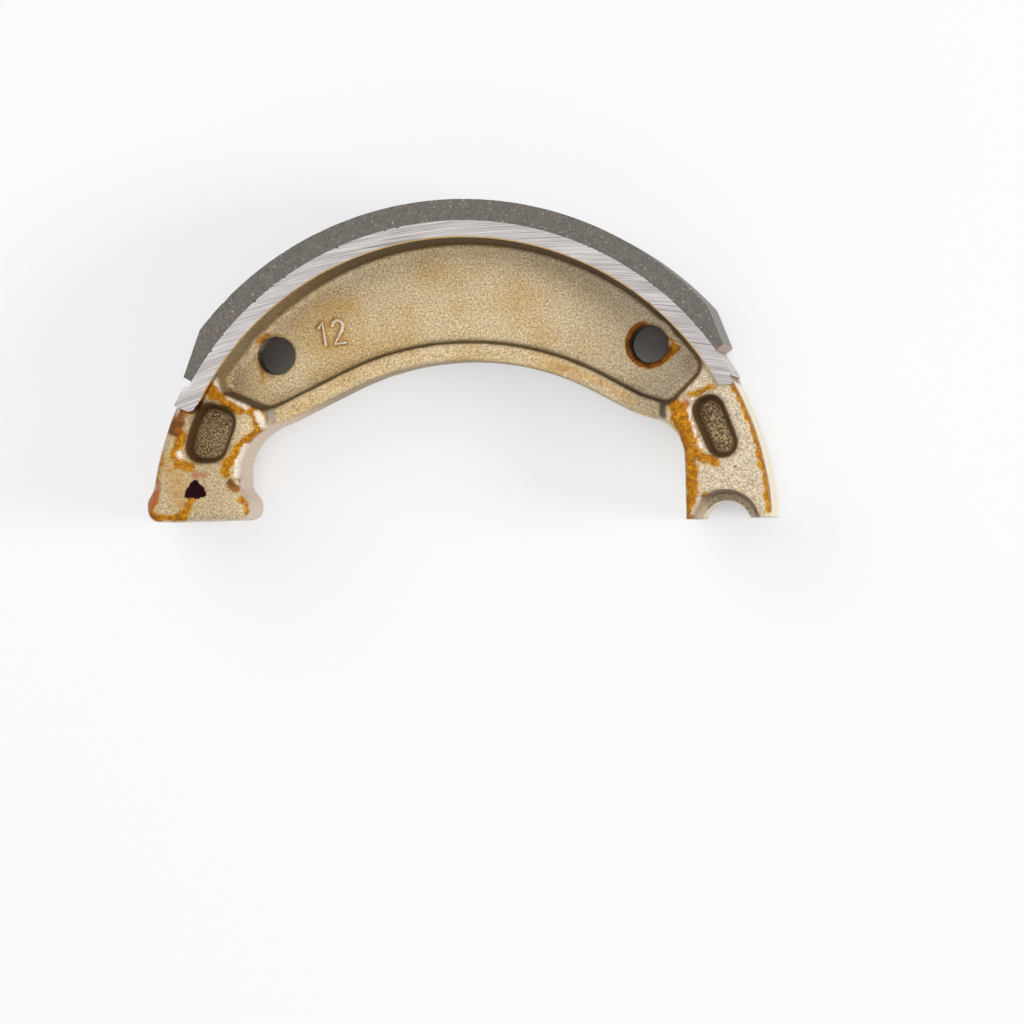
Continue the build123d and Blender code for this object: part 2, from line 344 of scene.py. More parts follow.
def add_world():
    """A soft dome, darker towards the horizon. Seen directly or mirrored it is a pale backdrop."""
    world = bpy.data.worlds.new("studio")
    bpy.context.scene.world = world
    world.use_nodes = True
    nodes = Nodes(world.node_tree)
    _, _, height = nodes.parts(nodes.add("ShaderNodeTexCoord").outputs["Generated"])
    strength = nodes.add("ShaderNodeMix")
    nodes.put(strength.inputs["Factor"], seen_directly(nodes))
    nodes.put(strength.inputs["A"], nodes.ramp(height, 0.0, 1.0, DOME_LOW, DOME_TOP, smooth=False))
    nodes.put(strength.inputs["B"], BACKDROP)
    background = nodes.tree.nodes["Background"]
    nodes.put(background.inputs["Strength"], strength.outputs[0])
    nodes.put(background.inputs["Color"], (1, 1, 1))


def add_lamps():
    for name, (place, diameter, power) in LAMPS.items():
        light = bpy.data.lights.new(name, "AREA")
        light.shape = "DISK"
        light.size = diameter
        light.energy = power
        lamp = link(name, light)
        lamp.location = place
        lamp.rotation_mode = "QUATERNION"
        lamp.rotation_quaternion = (Vector(place) - Vector(LIT_PLACE)).to_track_quat("Z", "Y")


# Meshes: an even copy of a solid, laid back on its surface


def even_copy(node, name, voxel):
    """A copy of a solid's mesh with even faces of one size."""
    piece = link(name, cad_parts[node].data.copy())
    even = piece.modifiers.new("even", "REMESH")
    even.mode = "VOXEL"
    even.voxel_size = voxel * MM
    depsgraph = bpy.context.evaluated_depsgraph_get()
    mesh = bpy.data.meshes.new_from_object(piece.evaluated_get(depsgraph))
    piece.modifiers.clear()
    piece.data = mesh
    mesh.materials.clear()
    return piece


def read_points(mesh):
    points = np.empty(len(mesh.vertices) * 3, dtype=np.float32)
    mesh.vertices.foreach_get("co", points)
    return points.reshape(-1, 3).astype(float) / MM


def write_points(mesh, points):
    mesh.vertices.foreach_set("co", (points * MM).astype(np.float32).ravel())
    mesh.update()


def read_normals(mesh):
    normals = np.empty(len(mesh.vertices) * 3, dtype=np.float32)
    mesh.vertices.foreach_get("normal", normals)
    return normals.reshape(-1, 3).astype(float)


def read_edges(mesh):
    edges = np.empty(len(mesh.edges) * 2, dtype=np.int32)
    mesh.edges.foreach_get("vertices", edges)
    return edges.reshape(-1, 2)


def set_values(mesh, name, values):
    attribute = mesh.attributes.new(name, "FLOAT", "POINT")
    attribute.data.foreach_set("value", values.astype(np.float32).ravel())


def shade_smooth(mesh):
    """Smooth shading that stops at the sharp edges."""
    mesh.polygons.foreach_set("use_smooth", [True] * len(mesh.polygons))
    mesh.set_sharp_from_angle(angle=SMOOTH_ANGLE)


def solid_tree(node):
    return BVHTree.FromObject(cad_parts[node], bpy.context.evaluated_depsgraph_get())


def laid_on(tree, points):
    """The nearest places on a solid's surface."""
    return np.array([tuple(tree.find_nearest(Vector(point) * MM)[0]) for point in points]) / MM


def sharp_edges(node, keep):
    """The ends of a solid's sharp edges that the test keeps, in millimetres."""
    mesh = bmesh.new()
    mesh.from_mesh(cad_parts[node].data)
    bmesh.ops.remove_doubles(mesh, verts=mesh.verts, dist=1e-6)
    ends = []
    for edge in mesh.edges:
        if len(edge.link_faces) == 2 and edge.calc_face_angle() > SHARP_ANGLE:
            start = edge.verts[0].co / MM
            end = edge.verts[1].co / MM
            if keep(start) and keep(end):
                ends.append((start, end))
    mesh.free()
    return ends


def snapped(points, ends, reach, spacing=0.2):
    """The points with those near a sharp edge moved onto it, and which were moved."""
    samples = []
    for start, end in ends:
        steps = max(1, math.ceil((end - start).length / spacing))
        samples += [start.lerp(end, i / steps) for i in range(steps + 1)]
    tree = KDTree(len(samples))
    for i, place in enumerate(samples):
        tree.insert(place, i)
    tree.balance()
    moved = np.zeros(len(points), dtype=bool)
    for i, point in enumerate(points):
        place, _, distance = tree.find(Vector(point))
        if distance < reach:
            points[i] = place
            moved[i] = True
    return points, moved


def smoothed(values, edges, weight, rounds, share=0.5):
    """Values on the mesh's points, drawn towards their neighbours' mean where the weight allows."""
    first, second = edges.T
    size = len(values)
    count = np.bincount(first, minlength=size) + np.bincount(second, minlength=size)
    values = values.reshape(size, -1).copy()
    for _ in range(rounds):
        for column in values.T:
            total = np.bincount(first, column[second], size) + np.bincount(second, column[first], size)
            column += weight * share * (total / count - column)
    return values


def skin_noise(points, scale):
    """Smooth noise from -1 to 1, with bumps about this many millimetres apart."""
    return np.array([noise.noise(Vector(point) / scale) for point in points])


def from_axis(points, x=0.0, y=0.0):
    """The points' distance from an axis parallel to Z."""
    return np.hypot(points[:, 0] - x, points[:, 1] - y)


def from_drum(points):
    return from_axis(points, -DRUM_OFFSET)


# What each point of the casting is: sheltered, on a wall, or under a stain


def sky_rays(count):
    """Directions spread evenly over the half sphere about Z, by the weight of its light."""
    spread = []
    for i in range(count):
        height = math.sqrt(1 - (i + 0.5) / count)
        turn = i * math.pi * (3 - math.sqrt(5))
        flat = math.sqrt(1 - height * height)
        spread.append(Vector((flat * math.cos(turn), flat * math.sin(turn), height)))
    return spread


def cavity(points, normals, tree):
    """The share of the sky over each point that the solid itself hides."""
    rays = sky_rays(CAVITY_RAYS)
    hidden = np.zeros(len(points))
    for i, (point, normal) in enumerate(zip(points, normals)):
        normal = Vector(normal)
        turn = normal.to_track_quat("Z", "Y")
        start = Vector(point) * MM + normal * RAY_LIFT * MM
        hits = [tree.ray_cast(start, turn @ ray, CAVITY_REACH * MM)[0] is not None for ray in rays]
        hidden[i] = sum(hits) / len(rays)
    return hidden


def wall_kinds(points, normals, tree):
    """Which points are on a wall outside, with nothing in front, and which on a wall of a hollow."""
    slope = np.abs(normals[:, 2])
    outer = 1 - smoothstep(slope, *OUTER_SLOPES)
    inner = 1 - smoothstep(slope, *INNER_SLOPES)
    inside = np.zeros(len(points))
    down = Vector((0, 0, -1))
    for i in np.nonzero(inner > 0)[0]:
        ahead = Vector((normals[i, 0], normals[i, 1], 0)).normalized() * WALL_STEP
        above = Vector((points[i, 0], points[i, 1], HALF_WIDTH + 1)) + ahead
        if tree.ray_cast(above * MM, down)[0] is not None:
            inside[i] = 1
    return outer * (1 - inside), inner * inside


def settled_walls(points, normals, outer, inner):
    """The walls' kinds, which set painted shade and painted light, put right in the holes, in the seat's
    cone, along the rib and where light falls.
    """
    slope = np.abs(normals[:, 2])
    height = np.abs(points[:, 2])
    radius = from_drum(points)
    in_seat = from_axis(points) < SEAT_MOUTH_RADIUS
    hollow = in_seat & (height > SEAT_LEDGE_TOP + 0.1) & (height < ANCHOR_END_TOP - 0.05)
    for x, y in (CAM_HOLE, ANCHOR_HOLE):
        hollow |= from_axis(points, x, y) < HOLE_RADIUS + 0.25
    inner = np.where(hollow, 1 - smoothstep(slope, *INNER_SLOPES), inner)
    outer = np.where(hollow, 0, outer)
    # Inner walls that face the light get less painted shade
    facing_light = smoothstep(normals[:, 0], 0.3, 0.8)
    on_rim = (radius > RIM_INNER_RADIUS - 2.5) & (points[:, 1] > 24)
    on_slope = (points[:, 0] > -79.5) & (points[:, 0] < -70) & (points[:, 1] < 24)
    lit = np.where(in_seat, 0.8, np.where(on_rim | on_slope, 0.5, 0))
    inner = inner * (1 - lit * facing_light)
    # The walls along the rib lose painted light and take painted shade
    along_rib = outer * (1 - smoothstep(np.abs(points[:, 0] + DRUM_OFFSET), 20, 30)) * (radius < 42)
    return outer - 0.85 * along_rib, inner + 0.55 * along_rib


def wandering(points, reach, scale):
    """The points moved by smooth noise, so that strokes get uneven edges."""
    moved = points.copy()
    moved[:, 0] += reach * skin_noise(points, scale)
    moved[:, 1] += reach * skin_noise(points + 30, scale)
    moved[:, 2] += 1.5 * reach * skin_noise(points + 60, scale)
    return moved


def near_path(points, path, half_width):
    """How much each point lies under a stroke along a path, from 0 to 1, seen along Z."""
    nearest = np.full(len(points), np.inf)
    for start, end in zip(path, path[1:]):
        start = np.array(start)
        run = np.array(end) - start
        share = np.clip((points[:, :2] - start) @ run / max(run @ run, 1e-9), 0, 1)
        gap = np.linalg.norm(points[:, :2] - start - share[:, None] * run, axis=1)
        nearest = np.minimum(nearest, gap)
    return 1 - smoothstep(nearest, 0.15 * half_width, 2 * half_width + 0.3)


# Marks on the casting, brushed one by one: the lowest height that a stroke reaches, its half width, its
# strength and its path, with all lengths in millimetres. The lowest heights are those on the thick
# ends, the rib, the slopes and the web.

ENDS = 7.0
RIB = 4.5
SLOPES = 4.0
WEB = 2.5
ALL_HEIGHTS = -13.0

AMBER = [
    (ENDS, 0.85, 1.0, [(-85.0, 25.4), (-84.1, 24.3), (-81.9, 23.1), (-79.4, 21.6), (-78.0, 21.5),
                       (-76.8, 20.9)]),
    (ENDS, 0.50, 0.8, [(-78.0, 21.5), (-77.1, 19.8), (-76.8, 18.7), (-76.2, 18.0)]),
    (ENDS, 0.55, 1.0, [(-76.2, 17.9), (-77.7, 16.8), (-79.3, 15.7), (-80.4, 14.5), (-81.3, 13.1),
                       (-82.3, 12.0), (-82.6, 10.8)]),
    (ENDS, 0.60, 0.9, [(-89.5, 17.6), (-90.0, 16.4), (-90.4, 14.8), (-90.8, 13.9), (-90.2, 12.6),
                       (-88.9, 12.1), (-88.3, 12.2)]),
    (ENDS, 0.22, 0.9, [(-85.9, 23.5), (-86.7, 21.8), (-87.7, 21.1), (-89.3, 21.6), (-90.5, 21.9)]),
    (ENDS, 0.55, 0.8, [(-88.3, 6.8), (-88.8, 5.3), (-89.8, 3.9), (-91.1, 3.6)]),
    (ENDS, 0.25, 0.9, [(-93.8, 7.9), (-94.6, 6.1), (-94.7, 4.5), (-93.6, 3.7), (-90.1, 3.9)]),
    (ENDS, 0.45, 0.5, [(-92.8, 14.6), (-93.4, 11.6), (-93.6, 9.8)]),
    (ENDS, 1.60, 0.35, [(-91.8, 12.3), (-90.3, 9.1), (-89.6, 5.9)]),
    (ENDS, 0.35, 0.8, [(-79.9, 6.4), (-79.4, 5.9)]),
    (ENDS, 0.20, 0.8, [(-79.1, 4.5), (-79.5, 5.0)]),
    (ENDS, 0.70, 1.0, [(-7.5, 20.1), (-7.3, 17.6), (-6.1, 15.0), (-5.5, 12.8), (-5.2, 10.4),
                       (-5.1, 8.1), (-5.3, 5.7), (-5.4, 3.7), (-5.7, 1.8)]),
    (ENDS, 0.75, 0.8, [(-6.4, 19.6), (-5.9, 17.3), (-5.0, 15.0), (-4.7, 13.7)]),
    (ENDS, 0.55, 0.8, [(-4.8, 12.5), (-3.5, 11.3), (-2.4, 10.7), (-1.3, 10.3)]),
    (ENDS, 0.32, 1.0, [(2.0, 22.9), (2.9, 21.1), (3.5, 19.0), (4.8, 16.6), (5.6, 14.1),
                       (6.0, 11.8), (6.2, 10.1), (7.0, 8.0), (7.2, 5.3), (7.3, 2.3)]),
    (ENDS, 0.40, 0.7, [(-5.3, 21.5), (-3.7, 21.8), (-2.4, 22.4), (-1.4, 22.8)]),
    (ENDS, 0.45, 0.9, [(-2.9, 4.8), (-3.8, 3.6), (-4.4, 2.2), (-4.8, 1.1)]),
    (WEB, 0.20, 0.8, [(-9.2, 31.2), (-7.2, 29.5), (-9.3, 27.5)]),
    (WEB, 0.45, 0.6, [(-8.8, 29.4), (-8.2, 29.4)]),
    (WEB, 0.50, 0.45, [(-76.6, 29.7), (-76.8, 26.2)]),
    (WEB, 0.35, 0.6, [(-77.2, 32.5), (-75.7, 33.6)]),
    (WEB, 1.20, 0.25, [(-66.9, 38.2), (-61.6, 38.0)]),
    (RIB, 0.80, 0.35, [(-28.3, 27.1), (-21.0, 24.7), (-15.5, 21.2)]),
]
BURNT = [
    (ENDS, 0.95, 1.0, [(-90.2, 20.9), (-90.6, 18.4)]),
    (ENDS, 0.45, 1.0, [(-81.8, 9.4), (-81.1, 8.3)]),
    (ENDS, 0.10, 0.8, [(-79.2, 12.7), (-80.0, 9.7)]),
    (ENDS, 0.12, 0.5, [(-8.1, 18.0), (-7.2, 15.7), (-6.6, 13.8), (-6.5, 11.3), (-6.4, 8.9), (-6.7, 1.8)]),
    (ENDS, 0.15, 0.8, [(1.8, 9.4), (1.9, 9.3)]),
    (ALL_HEIGHTS, 0.40, 0.9, [(1.6, 24.6), (2.1, 23.9)]),
    (ENDS, 0.30, 0.9, [(-85.1, 16.3), (-85.0, 16.0)]),
]
RED = [
    (ENDS, 0.45, 0.8, [(-87.7, 10.8), (-85.9, 10.6)]),
    (ENDS, 0.40, 0.8, [(-93.6, 9.8), (-93.8, 7.9), (-94.9, 6.7), (-95.5, 5.1), (-95.0, 4.2)]),
    (ENDS, 0.15, 0.6, [(-86.4, 9.2), (-85.6, 8.0)]),
    (ENDS, 0.25, 0.5, [(-79.5, 5.4), (-79.6, 5.6)]),
    (ENDS, 0.30, 0.9, [(-5.9, 20.3), (-5.8, 20.5)]),
]
# Painted highlights: pale strokes along rounded edges and slopes, where the lamps would glint
PAINTED_HIGHLIGHTS = [
    (ENDS, 0.45, 0.9, [(-83.4, 26.0), (-82.5, 24.8)]),
    (ENDS, 0.50, 1.0, [(-81.4, 23.6), (-78.6, 22.0)]),
    (ENDS, 0.45, 1.0, [(-76.9, 20.7), (-75.9, 18.5)]),
    (ENDS, 0.35, 0.9, [(-78.8, 15.4), (-79.7, 13.8), (-80.5, 12.4), (-80.6, 10.5)]),
    (ENDS, 0.30, 1.0, [(-90.1, 14.5), (-89.8, 13.7)]),
    (ENDS, 0.10, 0.9, [(-5.4, 19.3), (-5.0, 17.2), (-4.4, 15.0), (-3.5, 12.8)]),
    (ENDS, 0.12, 1.0, [(-3.9, 4.4), (-4.7, 3.2), (-5.3, 1.9)]),
    (SLOPES, 0.22, 0.7, [(-3.3, 2.6), (-4.0, 1.4)]),
    (WEB, 0.30, 0.5, [(-79.7, 28.8), (-77.2, 31.5)]),
    (SLOPES, 0.35, 0.9, [(-74.8, 21.6), (-74.9, 19.4)]),
    (WEB, 0.35, 0.4, [(-6.2, 26.8), (-7.0, 24.9), (-8.5, 23.7), (-10.5, 22.2)]),
]


def brushed(points, strokes):
    """How much each point is covered by a list of strokes, which fade out down the walls."""
    cover = np.zeros(len(points))
    for lowest, half_width, strength, path in strokes:
        share = near_path(points, path, half_width) * strength
        fade = smoothstep(points[:, 2], lowest - 0.3, lowest + 0.3 * abs(lowest))
        cover = np.maximum(cover, share * fade)
    return cover


def hole_ring(points, centre, start, end):
    """A ring of varnish round a hole's mouth, strongest between two directions."""
    x = points[:, 0] - centre[0]
    y = points[:, 1] - centre[1]
    radius = np.hypot(x, y)
    middle = math.radians((start + end) / 2)
    half = math.radians((end - start) / 2)
    away = np.abs((np.arctan2(y, x) - middle + math.pi) % (2 * math.pi) - math.pi)
    ring = smoothstep(radius, HOLE_RADIUS, HOLE_RADIUS + 0.3)
    ring = ring * (1 - smoothstep(radius, HOLE_RADIUS + RING_WIDTH, HOLE_RADIUS + RING_REACH))
    return ring * (1 - 0.75 * smoothstep(away, half, half + 0.6)) * (np.abs(points[:, 2]) > WEB)


def mark_casting(mesh, points, normals, edges, tree, in_recess):
    """Writes what each point is on the mesh, for its material."""
    outer_wall, inner_wall = settled_walls(points, normals, *wall_kinds(points, normals, tree))
    set_values(mesh, "outer_wall", smoothed(outer_wall, edges, 1, 2))
    set_values(mesh, "inner_wall", smoothed(inner_wall, edges, 1, 2))
    rings = hole_ring(points, ANCHOR_HOLE, *ANCHOR_RING)
    rings = np.maximum(rings, CAM_RING_STRENGTH * hole_ring(points, CAM_HOLE, *CAM_RING))
    loose = wandering(points, *WANDER)
    round_digits = brushed(loose, [(WEB, 0.55, 0.45, path) for path in digit_paths()])
    set_values(mesh, "amber", np.maximum(np.maximum(brushed(loose, AMBER), rings), round_digits))
    set_values(mesh, "burnt", np.maximum(brushed(loose, BURNT), BURNT_RING_STRENGTH * rings))
    set_values(mesh, "red", brushed(loose, RED))
    # The fine pale strokes are painted highlights
    set_values(mesh, "painted_highlight", brushed(wandering(points, *FINE_WANDER), PAINTED_HIGHLIGHTS))
    set_values(mesh, "grey", smoothstep(from_drum(points), *GREY_RADII) * in_recess)


# Pieces


def is_machined_edge(place):
    on_seat = math.hypot(place.x, place.y) < SEAT_MOUTH_RADIUS + 0.5
    on_table = math.hypot(place.x + DRUM_OFFSET, place.y) > TABLE_RADIUS - 0.6
    on_side = abs(place.z) > HALF_WIDTH - EDGE_MARGIN
    on_split = place.y < SPLIT_FACE + EDGE_MARGIN
    return on_side or on_split or on_seat or on_table


def add_casting():
    piece = even_copy("shoe_casting", "casting_skin", CASTING_VOXEL)
    mesh = piece.data
    tree = solid_tree("shoe_casting")
    points = laid_on(tree, read_points(mesh))
    edges = read_edges(mesh)
    sharp = sharp_edges("shoe_casting", is_machined_edge)
    points, crisp = snapped(points, sharp, SNAP_SHARE * CASTING_VOXEL)
    height = np.abs(points[:, 2])
    machined = (height > HALF_WIDTH - FLAT_MARGIN) | (points[:, 1] < SPLIT_FACE + FLAT_MARGIN) | crisp
    skin = np.where(machined, 0.0, 1.0)
    points = smoothed(points, edges, skin, 3)
    write_points(mesh, points)
    normals = read_normals(mesh)
    # How much of the sky the part hides over each point sets the painted shade; the seat's ledge gets none
    hidden = smoothed(cavity(points, normals, tree), edges, 1, 3).ravel()
    on_ledge = (from_axis(points) < SEAT_LEDGE_REACH) & (np.abs(points[:, 2]) > SEAT_LEDGE_TOP - 0.2)
    set_values(mesh, "cavity", np.where(on_ledge, 0, hidden))
    relief = sum(depth * (skin_noise(points, size) - 1) for depth, size in SKIN_LAYERS)
    points += normals * (skin * relief)[:, None]
    write_points(mesh, points)
    mark_casting(mesh, points, normals, edges, tree, height < WEB_TOP + 0.3)
    shade_smooth(mesh)
    mesh.materials.append(casting_material())
    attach(piece, "root")
    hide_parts("shoe_casting")


def add_lining():
    piece = even_copy("friction_lining", "lining_block", LINING_VOXEL)
    mesh = piece.data
    points = laid_on(solid_tree("friction_lining"), read_points(mesh))
    sharp = sharp_edges("friction_lining", lambda place: True)
    points, crisp = snapped(points, sharp, SNAP_SHARE * LINING_VOXEL)
    free = from_drum(points) > TABLE_RADIUS + 0.2
    write_points(mesh, points)
    normals = read_normals(mesh)
    chips = smoothstep(skin_noise(points, CHIP_SIZE), 0.25, 0.6)
    chips *= np.where(crisp, 1.0, CHIP_SHARE_INSIDE)
    chips *= 1 + smoothstep(-points[:, 0], 62, 84)
    pits = smoothstep(skin_noise(points + 50, PIT_SIZE), 0.42, 0.6)
    points -= normals * (free * (CHIP_DEPTH * chips + PIT_DEPTH * pits))[:, None]
    write_points(mesh, points)
    shade_smooth(mesh)
    mesh.materials.append(lining_material())
    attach(piece, "root")
    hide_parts("friction_lining")


# Digits cast in relief on the web: each is a line of strokes in a box one unit high

DIGIT_HEIGHT = 3.9
DIGIT_RADIUS = 0.36
DIGIT_LIFT = 0.12
DIGIT_TURN = 8
DIGIT_FOOT = (-67.0, 31.4)
DIGIT_PITCH = 0.66
DIGIT_LINES = [
    [(0.08, 0.76), (0.30, 1.0), (0.30, 0.0)],
    [(0.02, 0.76), (0.10, 0.93), (0.27, 1.0), (0.44, 0.92), (0.50, 0.74), (0.42, 0.54), (0.02, 0.0),
     (0.54, 0.0)],
]


def digit_paths():
    """The digits' strokes as points on the web."""
    turn = math.radians(DIGIT_TURN)
    across = np.array((math.cos(turn), math.sin(turn)))
    up = np.array((-math.sin(turn), math.cos(turn)))
    paths = []
    for number, line in enumerate(DIGIT_LINES):
        foot = np.array(DIGIT_FOOT) + across * number * DIGIT_PITCH * DIGIT_HEIGHT
        paths.append([tuple(foot + (across * x + up * y) * DIGIT_HEIGHT) for x, y in line])
    return paths


def add_digits():
    curve = bpy.data.curves.new("digits", "CURVE")
    curve.dimensions = "3D"
    curve.bevel_depth = DIGIT_RADIUS * MM
    curve.bevel_resolution = 3
    curve.use_fill_caps = True
    for path in digit_paths():
        spline = curve.splines.new("POLY")
        spline.points.add(len(path) - 1)
        for point, (x, y) in zip(spline.points, path):
            point.co = (x * MM, y * MM, (WEB_TOP + DIGIT_LIFT) * MM, 1)
    drawn = link("digits_line", curve)
    depsgraph = bpy.context.evaluated_depsgraph_get()
    mesh = bpy.data.meshes.new_from_object(drawn.evaluated_get(depsgraph))
    bpy.data.objects.remove(drawn)
    piece = link("cast_digits", mesh)
    shade_smooth(mesh)
    # A painted highlight on the digits' tops
    tops = smoothstep(read_points(mesh)[:, 2], WEB_TOP + 0.2, WEB_TOP + 0.45)
    set_values(mesh, "painted_highlight", 0.8 * tops)
    mesh.materials.clear()
    mesh.materials.append(bpy.data.materials["cast_skin"])
    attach(piece, "root")


# The casting's material

GOLD = (0.58, 0.41, 0.19)
CHAMPAGNE = (0.65, 0.51, 0.31)
SKIN_GREY = (0.50, 0.43, 0.34)
GRAIN_DARK = (0.58, 0.55, 0.49)
GRAIN_PALE = (1.42, 1.42, 1.40)
GRAIN_SPARK = (0.95, 0.88, 0.72)
GRAIN_PIT = (0.24, 0.16, 0.075)
POCKET_SPARK = (1.0, 0.76, 0.42)
SKIN_CAM_END = (0.485, 0.375, 0.22)
SKIN_ANCHOR_END = (0.63, 0.54, 0.415)
# Paler tones painted on the outer walls as light falling on them
PAINTED_LIT_WALL_GREY = (0.73, 0.61, 0.53)
PAINTED_LIT_WALL_CREAM = (0.97, 0.92, 0.76)
WALL_GRAIN_DARK = (0.80, 0.77, 0.72)
WALL_GRAIN_PALE = (1.12, 1.12, 1.10)
AMBER_TONE = (0.50, 0.195, 0.002)
AMBER_PALE = (0.62, 0.33, 0.018)
AMBER_SPARK = (0.84, 0.50, 0.045)
AMBER_DARK = (0.25, 0.082, 0.003)
BURNT_TONE = (0.27, 0.085, 0.012)
BURNT_DARK = (0.13, 0.045, 0.008)
RED_TONE = (0.40, 0.12, 0.06)
# The near white of the painted highlights
PAINTED_HIGHLIGHT_TONE = (0.98, 0.92, 0.80)
BARE_DARK = (0.35, 0.325, 0.315)
BARE_PALE = (0.70, 0.655, 0.64)
BARE_SCORE = (0.16, 0.15, 0.145)
RIM_EDGE_TONE = (0.50, 0.30, 0.07)
# Brown tones multiplied in as painted shade, in the hollows and in the ends' pockets
PAINTED_SHADE_TONE = (0.135, 0.11, 0.085)
POCKET_PAINTED_SHADE_TONE = (0.25, 0.15, 0.06)
INK = (0.02, 0.006, 0.008)
INK_CORNERS = [(-87.55, 10.65), (-90.15, 6.85), (-84.95, 6.85)]
INK_ROUNDING = 2.4
SCRATCH_CENTRE = (-27.6, -143.0)
SKIN_RELIEF = 0.14

# Noise on the casting, by its bumps per millimetre
PATCH_SCALE = 0.11
BLOTCH_SCALE = 0.7
EDGE_SCALE = 1.1
MOTTLE_SCALE = 1.3
GRAIN_SCALE = 2.9
GLINT_SCALE = 3.4
FINE_SCALE = 5.4


def skin_tone(nodes, grain, fine):
    """The cast skin: a warm sandy coat, greyer at the anchor end's half of the web."""
    patches = nodes.noise(PATCH_SCALE, 3.0)
    tone = nodes.mix(nodes.ramp(patches, 0.35, 0.65), GOLD, CHAMPAGNE)
    tone = nodes.mix(nodes.ramp(nodes.x, -78.0, -84.0, 0.0, 0.8), tone, SKIN_CAM_END)
    tone = nodes.mix(nodes.ramp(nodes.x, -12.0, -5.0, 0.0, 0.8), tone, SKIN_ANCHOR_END)
    right_web = nodes.times(nodes.ramp(nodes.x, -34.0, -18.0), nodes.ramp(nodes.x, -6.0, -10.0))
    tone = nodes.mix(nodes.times(right_web, 0.35), tone, SKIN_GREY)
    tone = nodes.mix(nodes.times(nodes.value("grey"), 0.3), tone, SKIN_GREY)
    tone = nodes.grained(tone, grain, 0.32, 0.68, GRAIN_DARK, GRAIN_PALE)
    tone = nodes.mix(nodes.ramp(fine, 0.57, 0.68, 0.0, 0.7), tone, GRAIN_SPARK)
    return nodes.mix(nodes.ramp(fine, 0.42, 0.30, 0.0, 0.6), tone, GRAIN_PIT)


def with_painted_light_on_outer_walls(nodes, tone, grain):
    """Painted light on the walls outside: paler skin, grey at the cam end and cream at the anchor end."""
    lit_wall_tone = nodes.mix(nodes.ramp(nodes.x, -72.0, -20.0), PAINTED_LIT_WALL_GREY, PAINTED_LIT_WALL_CREAM)
    lit_wall_tone = nodes.grained(lit_wall_tone, grain, 0.3, 0.7, WALL_GRAIN_DARK, WALL_GRAIN_PALE)
    return nodes.mix(nodes.times(nodes.value("outer_wall"), 0.78), tone, lit_wall_tone)


def stain(nodes, name, ragged, low, high):
    """A brushed mask with its edges broken up by noise."""
    cover = nodes.value(name)
    edge = nodes.math("MULTIPLY_ADD", ragged, 1.2, nodes.math("ADD", cover, -0.55))
    return nodes.times(nodes.ramp(edge, low, high), nodes.ramp(cover, 0.02, 0.15))


def amber_tone(nodes, amber, fine):
    """Varnish that ran thick and thin: brown, amber and, at its edges, yellow."""
    mottle = nodes.noise(MOTTLE_SCALE, 5.0, roughness=0.75)
    tone = nodes.mix(nodes.ramp(mottle, 0.40, 0.60), AMBER_DARK, AMBER_TONE)
    tone = nodes.mix(nodes.ramp(mottle, 0.54, 0.68, 0.0, 0.8), tone, AMBER_PALE)
    tone = nodes.mix(nodes.ramp(amber, 0.75, 0.25, 0.0, 0.7), tone, AMBER_PALE)
    return nodes.mix(nodes.ramp(fine, 0.56, 0.68, 0.0, 0.7), tone, AMBER_SPARK)


def with_stains(nodes, tone, fine, blotches):
    """The brushed marks laid over the skin, painted highlights among them, and how far varnish covers it.
    """
    edge_noise = nodes.noise(EDGE_SCALE, 5.0, roughness=0.72)
    ragged = nodes.math("MULTIPLY_ADD", fine, 0.5, nodes.times(edge_noise, 0.5))
    amber = nodes.times(stain(nodes, "amber", ragged, 0.12, 0.72), nodes.ramp(fine, 0.36, 0.56, 0.94, 1.0))
    tone = nodes.mix(amber, tone, amber_tone(nodes, amber, fine))
    burnt = stain(nodes, "burnt", ragged, 0.20, 0.75)
    burnt_tone = nodes.mix(nodes.ramp(blotches, 0.40, 0.58), BURNT_DARK, BURNT_TONE)
    tone = nodes.mix(nodes.times(burnt, 0.95), tone, burnt_tone)
    red = nodes.times(stain(nodes, "red", ragged, 0.2, 0.9), nodes.ramp(fine, 0.36, 0.58, 0.5, 0.9))
    tone = nodes.mix(red, tone, RED_TONE)
    # Painted highlights laid over the stains
    painted_highlight = stain(nodes, "painted_highlight", ragged, 0.25, 0.95)
    painted_highlight = nodes.times(painted_highlight, nodes.ramp(fine, 0.38, 0.58, 0.35, 0.85))
    return nodes.mix(painted_highlight, tone, PAINTED_HIGHLIGHT_TONE), nodes.larger(amber, burnt)


def with_painted_shade(nodes, tone):
    """Painted shade in the hollows and on their walls, in brown tones, with pale grains on the pockets'
    floors.
    """
    inner_wall = nodes.value("inner_wall")
    glints = nodes.noise(GLINT_SCALE, 2.0, roughness=0.6)
    ends = nodes.larger(nodes.ramp(nodes.x, -79.0, -82.0), nodes.ramp(nodes.x, -9.0, -6.5))
    # The shade is painted where the part hides much of the sky over a point, and on the walls of hollows
    cavity_shade = nodes.ramp(nodes.value("cavity"), 0.24, 0.60, 0.0, 0.8)
    cavity_shade = nodes.times(cavity_shade, nodes.ramp(ends, 0.0, 1.0, 0.45, 1.0))
    painted_shade = nodes.larger(cavity_shade, nodes.times(inner_wall, 0.95))
    shade_tone = nodes.mix(ends, PAINTED_SHADE_TONE, POCKET_PAINTED_SHADE_TONE)
    tone = nodes.mix(painted_shade, tone, nodes.mix(1.0, tone, shade_tone, "MULTIPLY"))
    sparks = nodes.times(nodes.ramp(glints, 0.47, 0.62), nodes.times(ends, cavity_shade))
    sparks = nodes.times(sparks, nodes.math("SUBTRACT", 1.0, inner_wall))
    return nodes.mix(nodes.times(sparks, 1.3, clamp=True), tone, POCKET_SPARK)


